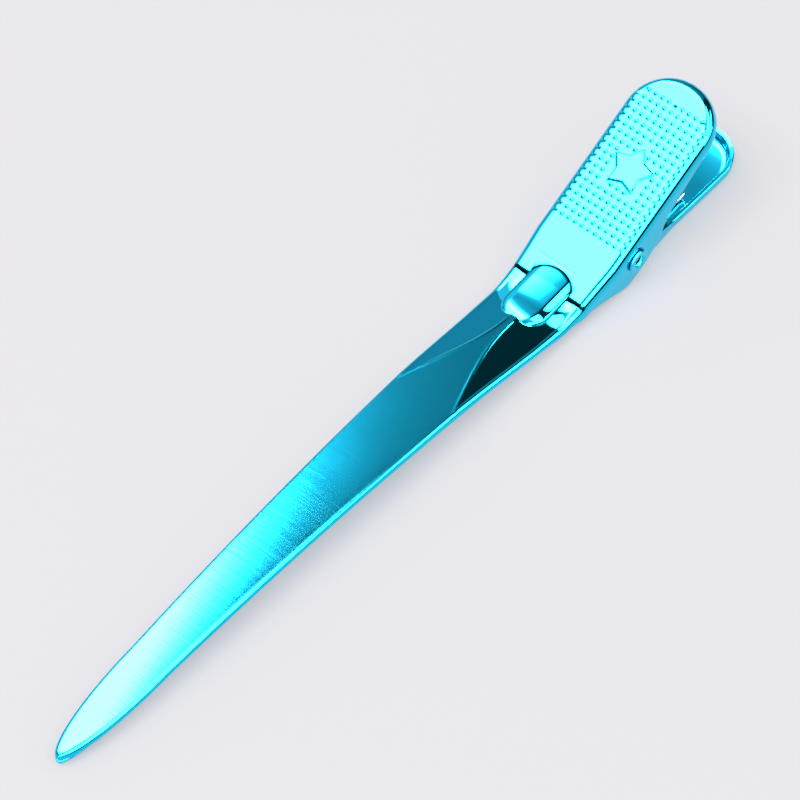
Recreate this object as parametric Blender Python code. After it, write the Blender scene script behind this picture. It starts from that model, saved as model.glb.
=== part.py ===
"""Sectioning clip: two stamped steel jaws, a U-shaped leaf spring and a tubular rivet.

The clip lies along Y, with its blade tips at -Y and its tails at +Y, and rests on the lower jaw at z = 0.
A jaw is drawn flat first: x across, s along the sheet from the bend line at the neck (tip at negative s),
and h above the sheet. The sheet is then bent along its centre line. Sizes are in millimetres.
"""
import math

import bmesh
import bpy
from mathutils import Matrix

MM = 0.001

# Sheet and overall lengths
SHEET = 0.55
BLADE_LENGTH = 78.0
UPPER_TAIL = 26.9
LOWER_TAIL = 29.4
MID_Y = (LOWER_TAIL - BLADE_LENGTH) / 2

# Side profile: both blades are bowed upwards, and the upper tail is bent up at the neck
BOW_RISE = 2.5
BOW_HALF_SPAN = BLADE_LENGTH / 2
BOW_END = -8.0
CLOSED_TIP = 1.7
CLOSED_NECK = 2.45
TAIL_ANGLE = math.radians(26.5)
BEND_RADIUS = 3.5
BEND_START = -0.5 * BEND_RADIUS * TAIL_ANGLE

# Where the two closed blades meet, above the lower blade's underside
LOWER_DEPTH_TIP = 0.7
LOWER_DEPTH_NECK = 0.9
BLADE_GAP = 0.15

# Blade outline: a half ellipse at the tip, then half widths by distance from the tip
TIP_ELLIPSE = 14.5
BLADE_WIDTHS = [(14.5, 2.62), (36.0, 3.4), (56.0, 4.1), (65.0, 4.4), (71.0, 4.6)]
LOWER_BLADE_INSET = 0.4

# Neck, ears and tails
NECK_HALF_WIDTH = 4.85
PAD_HALF_WIDTH = 5.4
LOWER_NECK_HALF_WIDTH = 4.1
LOWER_EAR_HALF_WIDTH = 4.55
LOWER_PAD_HALF_WIDTH = 4.25
TAIL_ELLIPSE = 5.2
LOWER_TAIL_ELLIPSE = 4.2
BLADE_EDGE_RADIUS = 0.6
PAD_EDGE_RADIUS = 1.1

# The lower tail's end lifts a little off the surface that the clip lies on
LIFT_START = 22.5
LIFT = 0.45

# Dome pressed up across the bend
DOME_HEIGHT = 1.15
DOME_CENTRE = -1.2
DOME_HALF_LENGTH = 3.5
DOME_HALF_WIDTH = 2.4

# Pivot
PIVOT_Y = 8.4
PIVOT_Z = 3.5
PIN_RADIUS = 0.8
PIN_HOLE_RADIUS = 0.9
HEAD_RADIUS = 1.45
HEAD_THICKNESS = 0.32
HEAD_GAP = 0.08
UPPER_EAR_RADIUS = 2.2
LOWER_EAR_RADIUS = 1.6

# Leaf spring
SPRING_WIDTH = 5.0
SPRING_THICKNESS = 0.4
SPRING_BEND_RADIUS = 1.15
SPRING_ARM = 11.0
SPRING_CURL_RADIUS = 1.2
SPRING_CURL_ANGLE = math.radians(50)
SPRING_REST_GAP = 0.25


def smooth_curve(stations, s):
    """Value at s of a smooth curve through (position, value) stations, without overshoot."""
    if s <= stations[0][0]:
        return stations[0][1]
    if s >= stations[-1][0]:
        return stations[-1][1]
    slopes = [(b[1] - a[1]) / (b[0] - a[0]) for a, b in zip(stations, stations[1:])]
    tangents = [slopes[0]]
    for before, after in zip(slopes, slopes[1:]):
        level = before * after <= 0
        tangents.append(0.0 if level else 2 * before * after / (before + after))
    tangents.append(slopes[-1])
    k = max(i for i in range(len(slopes)) if stations[i][0] <= s)
    (s0, v0), (s1, v1) = stations[k], stations[k + 1]
    span = s1 - s0
    t = (s - s0) / span
    rise = t * t * (3 - 2 * t)
    leave = t * (1 - t) ** 2 * tangents[k]
    arrive = t * t * (t - 1) * tangents[k + 1]
    return v0 + rise * (v1 - v0) + span * (leave + arrive)


def ease(low, high, s):
    """0 below low, 1 above high, and a smooth step between."""
    t = min(1.0, max(0.0, (s - low) / (high - low)))
    return t * t * (3 - 2 * t)


def ellipse_end(distance, length):
    """Half width of a rounded end, as a share of its full half width."""
    t = 1 - min(1.0, max(0.0, distance / length))
    return math.sqrt(1 - t * t)


class Jaw:
    """Widths, heights and depths of one stamped jaw, as functions of the position s along its sheet."""

    def __init__(self, tail_length, tail_ellipse, widths, depths, crowns):
        self.tail_length = tail_length
        self.tail_ellipse = tail_ellipse
        self.widths = widths
        self.depths = depths
        self.crowns = crowns

    def half_width(self, s):
        full = smooth_curve(self.widths, s)
        tip = ellipse_end(s + BLADE_LENGTH, TIP_ELLIPSE)
        tail = ellipse_end(self.tail_length - s, self.tail_ellipse)
        return full * tip * tail

    def edge_radius(self, s):
        return BLADE_EDGE_RADIUS + (PAD_EDGE_RADIUS - BLADE_EDGE_RADIUS) * ease(-8, 4, s)

    def crown(self, x, s):
        across = x / smooth_curve(self.widths, s)
        return -smooth_curve(self.crowns, s) * across * across

    def depth(self, s):
        return smooth_curve(self.depths, s)


def bow(s):
    """Height of the lower blade's underside: an arch over the blade that runs out flat under the ears."""
    u = (s + BOW_HALF_SPAN) / BOW_HALF_SPAN
    if s <= BOW_END:
        return BOW_RISE * (1 - u * u)
    u_end = (BOW_END + BOW_HALF_SPAN) / BOW_HALF_SPAN
    height = BOW_RISE * (1 - u_end * u_end)
    fall = 2 * BOW_RISE * u_end / BOW_HALF_SPAN
    run_out = 2 * height / fall
    left = max(0.0, 1 - (s - BOW_END) / run_out)
    return height * left * left


def between_tip_and_neck(at_tip, at_neck, s):
    t = min(1.0, max(0.0, 1 + s / BLADE_LENGTH))
    return at_tip + (at_neck - at_tip) * t


def lower_blade_depth(s):
    return between_tip_and_neck(LOWER_DEPTH_TIP, LOWER_DEPTH_NECK, s)


def upper_blade_depth(s):
    """From the closed pair's top down to the upper blade's edge."""
    return between_tip_and_neck(CLOSED_TIP, CLOSED_NECK, s) - lower_blade_depth(s) - BLADE_GAP


def blade_stations(inset, root):
    """Half widths of a blade in sheet positions, followed by those of its neck and tail."""
    return [(distance - BLADE_LENGTH, width - inset) for distance, width in BLADE_WIDTHS] + root


class UpperJaw(Jaw):
    """The outer jaw: its edges and ears point down, and its tail is bent up."""

    def __init__(self):
        widths = blade_stations(0.0, [(-1.5, NECK_HALF_WIDTH), (5.0, PAD_HALF_WIDTH)])
        pivot_s, pivot_h = self.pivot_on_sheet()
        ear = UPPER_EAR_RADIUS - pivot_h
        depths = [(-4.0, 1.25), (0.0, 1.9), (2.7, 3.3), (6.0, ear - 0.05), (pivot_s, ear), (10.5, ear - 0.4),
                  (12.1, 4.0), (14.0, 2.9), (17.4, 2.3), (21.0, 1.8), (UPPER_TAIL, 1.6)]
        crowns = [(-BLADE_LENGTH, 0.25), (-60.0, 0.36), (-30.0, 0.56), (-8.0, 0.8), (-3.5, 0.6), (1.5, 0.0)]
        super().__init__(UPPER_TAIL, TAIL_ELLIPSE, widths, depths, crowns)

    @staticmethod
    def centre_line(s):
        """Point (y, z) and slope of the bent centre line at s."""
        turned = min(TAIL_ANGLE, max(0.0, (s - BEND_START) / BEND_RADIUS))
        straight = s - BEND_START - turned * BEND_RADIUS
        y = BEND_START + BEND_RADIUS * math.sin(turned) + straight * math.cos(turned)
        rise = BEND_RADIUS * (1 - math.cos(turned)) + max(0.0, straight) * math.sin(turned)
        return y, bow(s) + between_tip_and_neck(CLOSED_TIP, CLOSED_NECK, s) + rise, turned

    @staticmethod
    def pivot_on_sheet():
        """The pivot's place in flat sheet coordinates (s, h)."""
        start = BEND_START + BEND_RADIUS * TAIL_ANGLE
        y, z, slope = UpperJaw.centre_line(start)
        dy, dz = PIVOT_Y - y, PIVOT_Z - z
        along = dy * math.cos(slope) + dz * math.sin(slope)
        above = dz * math.cos(slope) - dy * math.sin(slope)
        return start + along, above

    def height(self, x, s):
        along = (s - DOME_CENTRE) / DOME_HALF_LENGTH
        across = x / DOME_HALF_WIDTH
        inside = max(0.0, 1 - along * along - across * across)
        return self.crown(x, s) + DOME_HEIGHT * inside ** 0.75

    def depth(self, s):
        rim = upper_blade_depth(s)
        return rim if s < -4.0 else max(rim, smooth_curve(self.depths, s))

    def place(self, x, s, h):
        y, z, slope = self.centre_line(s)
        return x, y - h * math.sin(slope), z + h * math.cos(slope)


class LowerJaw(Jaw):
    """The inner jaw: its edges and ears point up, and its tail lies flat."""

    def __init__(self):
        widths = blade_stations(LOWER_BLADE_INSET, [
            (-4.0, 4.15), (-1.0, LOWER_NECK_HALF_WIDTH), (1.0, LOWER_NECK_HALF_WIDTH),
            (5.0, LOWER_EAR_HALF_WIDTH), (11.5, LOWER_EAR_HALF_WIDTH), (16.0, LOWER_PAD_HALF_WIDTH)])
        top = PIVOT_Z + LOWER_EAR_RADIUS
        depths = [(-1.0, 0.85), (3.0, 1.8), (6.0, top - 0.5), (PIVOT_Y, top), (10.8, top - 0.5),
                  (14.0, 2.4), (17.0, 1.8), (LOWER_TAIL, 1.7)]
        crowns = [(-BLADE_LENGTH, 0.2), (-60.0, 0.26), (-10.0, 0.3), (-1.0, 0.0)]
        super().__init__(LOWER_TAIL, LOWER_TAIL_ELLIPSE, widths, depths, crowns)

    def height(self, x, s):
        return self.crown(x, s)

    def depth(self, s):
        return lower_blade_depth(s) if s < -1.0 else smooth_curve(self.depths, s)

    def place(self, x, s, h):
        past = max(0.0, (s - LIFT_START) / (LOWER_TAIL - LIFT_START))
        return x, s, bow(s) - h + LIFT * past * past


def outline_positions(jaw):
    """Sheet positions of the outline points from the tip to the tail's end, closer where the edge turns."""
    positions = [-BLADE_LENGTH + 9.0 * (k / 7) ** 2 for k in range(8)]
    positions += [-BLADE_LENGTH + 9.0 + 53.0 * k / 13 for k in range(1, 14)]
    positions += [-16.0 + 10.0 * k / 5 for k in range(1, 6)]
    positions += [-6.0 + 19.0 * k / 18 for k in range(1, 19)]
    rest = jaw.tail_length - jaw.tail_ellipse
    positions += [13.0 + (rest - 13.0) * k / 5 for k in range(1, 6)]
    positions += [jaw.tail_length - jaw.tail_ellipse * math.cos(math.pi / 2 * k / 8) for k in range(1, 9)]
    return positions


def spine_position(jaw, s):
    """Where the rib of an outline point starts on the middle line; ribs fan out at both round ends."""
    for distance, reach, end, sign in ((s + BLADE_LENGTH, 4.0, -BLADE_LENGTH, 1),
                                       (jaw.tail_length - s, 8.0, jaw.tail_length, -1)):
        if distance < reach:
            return end + sign * reach * (0.5 + 0.5 * (distance / reach) ** 2)
    return s


def rib(jaw, s, top_steps, arc_steps):
    """Closed half section from the middle line round the edge and back, as (x, s, h) points."""
    middle = spine_position(jaw, s)
    width, run = jaw.half_width(s), s - middle
    length = math.hypot(width, run)

    def at(reach, h):
        return width * reach / length, middle + run * reach / length, h

    def top(reach):
        x, along, _ = at(reach, 0.0)
        return jaw.height(x, along)

    radius = min(jaw.edge_radius(s), 0.45 * length)
    inset = length - radius
    rim = top(inset)
    depth = max(jaw.depth(s), radius - rim + 0.05)
    inner = max(radius - SHEET, 0.0)
    outer_skin = [at(inset * k / top_steps, top(inset * k / top_steps)) for k in range(top_steps + 1)]
    for k in range(1, arc_steps + 1):
        angle = math.pi / 2 * k / arc_steps
        outer_skin.append(at(inset + radius * math.sin(angle), rim - radius * (1 - math.cos(angle))))
    outer_skin.append(at(length, -depth))
    wall = length - min(SHEET, 0.6 * length)
    inner_skin = [at(wall, -depth), at(wall, rim - SHEET - inner)]
    steps = top_steps - 1
    inner_skin += [at(min(inset, wall) * k / steps, top(min(inset, wall) * k / steps) - SHEET)
                   for k in range(steps, -1, -1)]
    return outer_skin + inner_skin


def solid(name, points, faces, material, origin=(0.0, 0.0, 0.0)):
    """Make an object from points in millimetres, with its origin at a given place."""
    mesh = bpy.data.meshes.new(name)
    mesh.from_pydata([[c * MM for c in p] for p in points], [], faces)
    work = bmesh.new()
    work.from_mesh(mesh)
    bmesh.ops.remove_doubles(work, verts=work.verts, dist=0.001 * MM)
    bmesh.ops.recalc_face_normals(work, faces=work.faces)
    work.to_mesh(mesh)
    work.free()
    at = [c * MM for c in origin]
    mesh.transform(Matrix.Translation([-c for c in at]))
    mesh.shade_smooth()
    mesh.set_sharp_from_angle(angle=math.radians(35))
    mesh.materials.append(material)
    thing = bpy.data.objects.new(name, mesh)
    thing.location = at
    bpy.context.scene.collection.objects.link(thing)
    return thing


def loft(sections, closed_section, capped):
    """Faces between successive sections of equal length, in one flat point list."""
    size = len(sections[0])
    points = [p for section in sections for p in section]
    faces = []
    for row in range(len(sections) - 1):
        for k in range(size if closed_section else size - 1):
            after = (k + 1) % size
            faces.append([row * size + k, row * size + after, (row + 1) * size + after, (row + 1) * size + k])
    if capped:
        faces.append(list(range(size)))
        faces.append([len(points) - 1 - k for k in range(size)])
    return points, faces


def build_jaw(name, jaw, material, origin):
    """Loft a jaw's half sections from tip to tail on both sides of its middle line."""
    sections = {}
    for side in (1, -1):
        sections[side] = []
        for s in outline_positions(jaw):
            half = rib(jaw, s, 5, 2)
            placed = [jaw.place(side * x, along, h) for x, along, h in half]
            sections[side].append([(x, y - MID_Y, z) for x, y, z in placed])
    right, right_faces = loft(sections[1], False, False)
    left, left_faces = loft(sections[-1], False, False)
    faces = right_faces + [[len(right) + k for k in reversed(face)] for face in left_faces]
    return solid(name, right + left, faces, material, origin)


def turned(profile, segments):
    """Rings of a profile (x, radius) turned about the pivot axis."""
    sections = []
    for x, radius in profile:
        ring = []
        for k in range(segments):
            angle = 2 * math.pi * k / segments
            y = PIVOT_Y - MID_Y + radius * math.cos(angle)
            z = PIVOT_Z + radius * math.sin(angle)
            ring.append((x, y, z))
        sections.append(ring)
    return sections


def pivot_origin():
    return 0.0, PIVOT_Y - MID_Y, PIVOT_Z


def build_pin(material):
    """Semi-tubular rivet: a domed head on one side and a flared hollow end on the other."""
    inner = PAD_HALF_WIDTH + HEAD_GAP
    outer = inner + HEAD_THICKNESS
    profile = [(-outer, 0.55), (-outer + 0.06, 0.95), (-outer + 0.14, HEAD_RADIUS - 0.1),
               (-outer + 0.24, HEAD_RADIUS), (-inner, HEAD_RADIUS), (-inner, PIN_RADIUS),
               (inner, PIN_RADIUS), (inner, HEAD_RADIUS), (outer - 0.12, HEAD_RADIUS),
               (outer, HEAD_RADIUS - 0.2), (outer, 0.85), (outer - 0.3, 0.6), (outer - 1.6, 0.55)]
    points, faces = loft(turned(profile, 20), True, True)
    return solid("pivot_pin", points, faces, material, pivot_origin())


def spring_arm(plate_angle, clearance, side):
    """One arm, from its curled end to where it leaves the bend, in a frame (u, v) at the pivot."""
    end_u = SPRING_ARM * math.cos(plate_angle) - side * clearance * math.sin(plate_angle)
    end_v = SPRING_ARM * math.sin(plate_angle) + side * clearance * math.cos(plate_angle)
    tangent = math.acos(SPRING_BEND_RADIUS / math.hypot(end_u, end_v))
    leave = math.atan2(end_v, end_u) + side * tangent
    slope = leave - side * math.pi / 2
    arm = [(end_u, end_v)]
    for k in range(1, 5):
        heading = slope - side * SPRING_CURL_ANGLE * k / 4
        u = end_u + side * SPRING_CURL_RADIUS * (math.sin(slope) - math.sin(heading))
        v = end_v - side * SPRING_CURL_RADIUS * (math.cos(slope) - math.cos(heading))
        arm.insert(0, (u, v))
    return arm, leave


def spring_line():
    """Centre line of the spring: lower arm, bend round the front of the pin, upper arm."""
    _, pivot_h = UpperJaw.pivot_on_sheet()
    taken = SHEET + SPRING_REST_GAP + SPRING_THICKNESS / 2
    lower_arm, lower_leave = spring_arm(0.0, PIVOT_Z - taken, -1)
    upper_arm, upper_leave = spring_arm(TAIL_ANGLE, -pivot_h - taken, 1)
    bend = []
    for k in range(15):
        angle = lower_leave + (upper_leave - lower_leave - 2 * math.pi) * k / 14
        bend.append((SPRING_BEND_RADIUS * math.cos(angle), SPRING_BEND_RADIUS * math.sin(angle)))
    return lower_arm + bend + upper_arm[::-1]


def build_spring(material):
    """A strip of constant width and thickness along the spring's centre line."""
    line = spring_line()
    sections = []
    for k, (u, v) in enumerate(line):
        before, after = line[max(k - 1, 0)], line[min(k + 1, len(line) - 1)]
        du, dv = after[0] - before[0], after[1] - before[1]
        size = math.hypot(du, dv)
        across_u, across_v = -dv / size, du / size
        section = []
        for side, face in ((-1, -1), (1, -1), (1, 1), (-1, 1)):
            fu = u + face * across_u * SPRING_THICKNESS / 2
            fv = v + face * across_v * SPRING_THICKNESS / 2
            section.append((side * SPRING_WIDTH / 2, PIVOT_Y - MID_Y + fu, PIVOT_Z + fv))
        sections.append(section)
    points, faces = loft(sections, True, True)
    return solid("leaf_spring", points, faces, material, pivot_origin())


def cut_pin_holes(jaw_object):
    """Drill both ears of a jaw along the pivot axis."""
    reach = PAD_HALF_WIDTH + 2.0
    points, faces = loft(turned([(-reach, PIN_HOLE_RADIUS), (reach, PIN_HOLE_RADIUS)], 20), True, True)
    cutter = solid(jaw_object.name + "_hole_cutter", points, faces, jaw_object.data.materials[0], pivot_origin())
    cutter.hide_render = True
    cutter.display_type = "WIRE"
    cut = jaw_object.modifiers.new("pin_holes", "BOOLEAN")
    cut.operation = "DIFFERENCE"
    cut.object = cutter


def metal(name, colour, roughness):
    material = bpy.data.materials.new(name)
    material.use_nodes = True
    shader = material.node_tree.nodes["Principled BSDF"]
    shader.inputs["Base Color"].default_value = (*colour, 1.0)
    shader.inputs["Metallic"].default_value = 1.0
    shader.inputs["Roughness"].default_value = roughness
    return material


def main():
    for thing in list(bpy.data.objects):
        bpy.data.objects.remove(thing, do_unlink=True)
    plating = metal("cyan_plating", (0.02, 0.52, 0.66), 0.1)
    rivet_plating = metal("rivet_plating", (0.03, 0.56, 0.70), 0.15)
    spring_steel = metal("spring_steel", (0.55, 0.57, 0.60), 0.25)
    lower = build_jaw("lower_jaw", LowerJaw(), plating, (0.0, 0.0, 0.0))
    upper = build_jaw("upper_jaw", UpperJaw(), plating, pivot_origin())
    for jaw_object in (lower, upper):
        cut_pin_holes(jaw_object)
    build_pin(rivet_plating)
    build_spring(spring_steel)


main()
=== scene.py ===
"""Looks of a sectioning clip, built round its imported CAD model.

The two stamped jaws are drawn flat first, as in the CAD: x across, s along the sheet from the bend line at
the neck (blade tip at negative s) and h above the sheet. The sheet is then bent along its centre line.
Sizes of the clip are in millimetres, and those of the studio are in metres.
"""
import math

import bmesh
import bpy
import numpy as np
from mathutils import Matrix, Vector

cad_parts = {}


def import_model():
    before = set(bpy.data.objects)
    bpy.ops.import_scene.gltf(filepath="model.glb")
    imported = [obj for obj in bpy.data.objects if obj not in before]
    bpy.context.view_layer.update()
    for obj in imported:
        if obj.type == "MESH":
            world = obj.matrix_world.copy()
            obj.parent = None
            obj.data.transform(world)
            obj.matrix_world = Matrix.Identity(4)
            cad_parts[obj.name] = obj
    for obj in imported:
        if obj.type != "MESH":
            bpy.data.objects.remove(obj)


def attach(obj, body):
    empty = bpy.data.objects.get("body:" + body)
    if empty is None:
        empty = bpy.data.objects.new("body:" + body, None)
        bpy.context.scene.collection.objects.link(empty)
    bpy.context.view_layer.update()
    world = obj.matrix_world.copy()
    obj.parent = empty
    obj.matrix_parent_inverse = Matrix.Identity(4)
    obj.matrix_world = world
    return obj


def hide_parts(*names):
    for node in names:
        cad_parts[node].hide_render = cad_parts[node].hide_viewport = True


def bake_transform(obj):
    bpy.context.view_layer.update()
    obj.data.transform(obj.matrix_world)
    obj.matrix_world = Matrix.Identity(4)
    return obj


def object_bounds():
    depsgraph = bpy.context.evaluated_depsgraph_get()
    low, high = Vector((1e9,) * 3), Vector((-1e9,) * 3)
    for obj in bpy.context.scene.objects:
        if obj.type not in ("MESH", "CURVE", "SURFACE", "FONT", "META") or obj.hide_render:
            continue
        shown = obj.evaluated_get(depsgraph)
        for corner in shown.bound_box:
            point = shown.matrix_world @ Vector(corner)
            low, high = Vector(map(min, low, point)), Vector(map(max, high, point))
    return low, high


MM = 0.001

# Sheet and overall lengths
SHEET = 0.55
BLADE_LENGTH = 78.0
UPPER_TAIL = 26.9
LOWER_TAIL = 29.4
MID_Y = (LOWER_TAIL - BLADE_LENGTH) / 2

# Side profile
BOW_RISE = 2.5
BOW_HALF_SPAN = BLADE_LENGTH / 2
BOW_END = -8.0
CLOSED_TIP = 1.7
CLOSED_NECK = 2.45
TAIL_ANGLE = math.radians(26.5)
BEND_RADIUS = 1.2
BEND_START = -0.5 * BEND_RADIUS * TAIL_ANGLE

# Where the two closed blades meet
LOWER_DEPTH_TIP = 0.7
LOWER_DEPTH_NECK = 0.9
BLADE_GAP = 0.15

# Outlines
TIP_ELLIPSE = 14.5
BLADE_WIDTHS = [(14.5, 2.62), (36.0, 3.4), (56.0, 4.1), (65.0, 4.4), (71.0, 4.6)]
LOWER_BLADE_INSET = 0.4
NECK_HALF_WIDTH = 4.85
PAD_HALF_WIDTH = 5.4
LOWER_NECK_HALF_WIDTH = 4.1
LOWER_EAR_HALF_WIDTH = 4.55
LOWER_PAD_HALF_WIDTH = 4.25
TAIL_ELLIPSE = 5.2
LOWER_TAIL_ELLIPSE = 4.2
LIFT_START = 22.5
LIFT = 0.45

# Rounding of the edge, and the stretch where it grows from the blade's radius to the pad's
BLADE_EDGE_RADIUS = 0.6
PAD_EDGE_RADIUS = 1.1
EDGE_GROWS = (-8, 4)

# Sheet positions where the rims change from those of the blades to those of the ears
UPPER_EARS_START = -4.0
LOWER_EARS_START = -1.0

# How the lower rim makes room for the upper jaw's facets
FACETS_BEGIN = (-16.0, -9.0)
FACETS_STOP = (0.0, -2.0)
ROOM_FOR_FACETS = 0.3
TIGHTER_EDGE = 0.35

# Facets pressed into both sides of the blade's root, each behind a ridge that a fine bead sharpens
RIDGE = [(-22.5, 4.5), (-8.0, 0.45), (-5.0, 0.3)]
RIDGE_START = RIDGE[0][0]
RIDGE_BLEND = 0.06
FACET_SLOPE = 0.265
RIDGE_BEAD = 0.07
RIDGE_BEAD_WIDTH = 0.17
BEAD_FADES_IN = (RIDGE_START, RIDGE_START + 6)
BEAD_FADES_OUT = (-5.4, -6.4)

# The neck starts on a V that opens backwards, and rises to the level of the pad
FACET_END = -7.6
NECK_V_HALF_WIDTH = 4.6
NECK_V_ROUNDING = 0.5
NECK_V_END_BLEND = 0.3
NECK_START_BLEND = 0.03
NECK_POWER = 1.5

# Barrel-shaped dome: a rounded nose in front of its shoulder, then a gentle climb until the steeper pad
# meets it. The top of its arch stands its height above the sheet, and its feet drop below it.
DOME_HEIGHT = 0.33
DOME_DROP = 0.45
DOME_SLOPE = 0.14
DOME_SLOPE_BLEND = 1.0
DOME_HALF_WIDTH = 2.75
DOME_SHOULDER = -3.4
DOME_NOSE = 2.6
DOME_EDGE_BLEND = 0.07

# Groove where the pad meets the dome and the strips beside it, darkened with painted shade. The bend under
# it is rounded, so it lies as if the pad were a little steeper. Its slant is measured over a step to each
# side.
GROOVE_DEPTH = 0.13
GROOVE_WIDTH = 0.17
# Half width of the band of painted shade along the groove
GROOVE_PAINTED_SHADE_WIDTH = 0.27
BEND_ALLOWANCE = 0.057
SLANT_STEP = 0.05

# Fine crease across the pad's front, and the stretches of x where it fades in from the left and the right
PAD_CREASE_S = 2.7
PAD_CREASE_DEPTH = 0.03
PAD_CREASE_WIDTH = 0.16
PAD_CREASE_LEFT = (-4.0, -2.8)
PAD_CREASE_RIGHT = (4.4, -0.5)

# Grip dots and star on the thumb pad
DOT_PITCH = 0.9
DOT_RADIUS = 0.27
DOT_HEIGHT = 0.13
DOTS_START = 7.6
DOT_ROWS = 19
DOT_COLUMNS = 5
DOT_TO_STAR = 0.35
DOT_TO_EDGE = 0.75
STAR_S = 15.4
STAR_RADIUS = 2.65
STAR_NOTCH = 0.6
STAR_HEIGHT = 0.2
STAR_BEVEL = 0.13

# Stretches where the cross brushing ends: in distance past the ridge, and along each jaw
BRUSHING_PAST_RIDGE = (0.25, -0.15)
UPPER_BRUSHING_END = (-4.5, -6.5)
LOWER_BRUSHING_END = (-2.0, -5.0)

# Cross-section of the sheet: its lip, its least flange, and limits on its parts where the jaw is narrow
LIP = 0.16
LEAST_FLANGE = 0.05
MOST_RADIUS_SHARE = 0.45
MOST_WALL_SHARE = 0.6
MOST_LIP_SHARE = 0.4
EDGE_STEPS = 10
FLANGE_STEPS = 5
CORNER_POINTS = 3
HOLLOW_STEPS = 4
UNDER_STEPS = 12
UNBRUSHED_EDGE_POINTS = 4

# Ends of the jaws, where the ribs fan out
TIP_END = -BLADE_LENGTH + 9.0
TIP_FAN = 4.0
TAIL_FAN = 8.0

# Pivot
PIVOT_Y = 8.4
PIVOT_Z = 3.5
PIN_RADIUS = 0.8
PIN_HOLE_RADIUS = 0.9
PIN_HOLE_SEGMENTS = 40
PIN_HOLE_OVERRUN = 2.0
HEAD_RADIUS = 1.45
HEAD_THICKNESS = 0.32
HEAD_GAP = 0.08
HEAD_FLAT = 0.04
HEAD_CROWN = 0.75
HEAD_CROWN_POWER = 2.2
HEAD_STEPS = 8
PIN_SEGMENTS = 56
MOUTH_RADIUS = 1.0
THROAT_RADIUS = 0.42
BORE_END = [(1.7, 0.55), (1.9, 0.3)]
UPPER_EAR_RADIUS = 2.2
LOWER_EAR_RADIUS = 1.6

# Leaf spring
SPRING_WIDTH = 5.0
SPRING_THICKNESS = 0.4
SPRING_BEVEL = 0.11
SPRING_BEND_RADIUS = 1.15
SPRING_ARM = 11.0
SPRING_CURL_RADIUS = 1.2
SPRING_CURL_ANGLE = math.radians(50)
SPRING_REST_GAP = 0.25
SPRING_ARM_STEPS = 12
SPRING_BEND_STEPS = 40

# Plating of the jaws: a mirror, with brushed lines over it and painted shade, near black, in the groove
PLATING = (0.014, 0.64, 0.9, 1)
BRUSHED_PLATING = (0.015, 0.5, 0.74, 1)
# Painted shade: the near black colour of the groove
GROOVE_PAINTED_SHADE = (0.0, 0.0015, 0.003, 1)
MIRROR_ROUGHNESS = (0.03, 0.06)
ADDED_BY_BRUSHING = (0.05, 0.13)
MIRROR_CLOUDS = (260, 260, 260)
BRUSH_LINES = (120, 2600, 600)
BRUSH_BUMP_STRENGTH = 0.14
BRUSH_BUMP_DISTANCE = 0.00004

# Plating of the rivet
RIVET_PLATING = (0.015, 0.7, 0.9, 1)
RIVET_DULL = (0.03, 0.6, 0.78, 1)
RIVET_ROUGHNESS = (0.06, 0.2)
RIVET_CLOUDS = (900, 900, 900)

# Spring steel
STEEL_DARK = (0.5, 0.52, 0.55, 1)
STEEL_LIGHT = (0.66, 0.67, 0.69, 1)
STEEL_ROUGHNESS = (0.16, 0.34)
ROLLING_LINES = (3800, 160, 160)
ROLLING_BUMP_STRENGTH = 0.1
ROLLING_BUMP_DISTANCE = 0.00002

# Floor, and the pale tent that lights it
FLOOR_HALF = 4.0
FLOOR_COLOUR = (0.3, 0.3, 0.315, 1)
FLOOR_GLOW = (0.99, 0.965, 0.975, 1)
FLOOR_GLOW_STRENGTH = 0.42
TENT_COLOUR = (0.94, 0.93, 0.97, 1)
TENT_STRENGTH = 0.85

# Softboxes: name, centre, width and height, radiance, and what it faces (None for straight down)
FLOOR_SOFTBOX = ("front_softbox", (0.0, -1.0, 2.0), (2.0, 1.6), 4.0, None)
MIRRORED_SOFTBOXES = [
    ("right_low_softbox", (2.0, 1.0, 1.2), (1.8, 1.2), 6.0, (0.0, 1.0, 1.2)),
    ("right_back_softbox", (2.2, 2.3, 2.0), (2.2, 1.8), 6.0, None),
    ("left_softbox", (-2.2, 0.2, 1.15), (2.4, 0.9), 0.5, (0.0, 0.0, 0.0)),
    ("front_low_softbox", (-0.6, -2.3, 1.15), (2.4, 0.9), 0.5, (0.0, 0.0, 0.0))]

# The sky that the plating mirrors. Places on it are how far across (x) and back (y) per unit of height.
# Its brightness is given as (place, radiance) stations along back + SKY_SLANT * across.
SKY_SLANT = 0.36
SKY = [(-4.0, 0.3), (-1.9, 0.3), (-1.2, 0.4), (-0.95, 2.0), (-0.78, 16.0), (-0.55, 22.0), (-0.1, 28.0),
       (0.0, 40.0), (0.12, 46.0), (0.15, 34.0), (0.18, 22.0), (0.21, 13.0), (0.24, 7.0), (0.27, 3.0),
       (0.29, 1.4), (0.32, 0.9), (0.38, 0.64), (0.45, 0.5), (0.5, 0.42), (0.56, 0.33), (0.62, 0.28),
       (1.2, 0.3), (1.35, 0.25), (1.6, 0.02), (2.6, 0.02), (4.0, 0.3)]
SKY_BRIGHT = 1.5
SKY_DIM_TINT = 0.9
LEAST_HEIGHT = 0.02
SKY_RIGHT_END = (-0.08, -0.02)
SKY_PAST_RIGHT_END = 0.02
FAR_LEFT_END = (-1.5, -1.12)
FAR_LEFT_COLOUR = (0.26, 0.31, 0.38, 1)

# A bright light right of the sky, past a dark gap that narrows towards the back
RIGHT_COLOUR = (0.8, 0.8, 0.8, 1)
RIGHT_RADIANCE = 18.0
DARKEST_RADIANCE = 0.03
GAP_NARROWS = (-0.05, 0.2)
GAP_WIDTHS = (0.56, 0.04)
GAP_BLEND = (0.0, 0.03)
RIGHT_BACK_END = (0.42, 0.5)
RIGHT_HORIZON = (1.6, 2.2)

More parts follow.
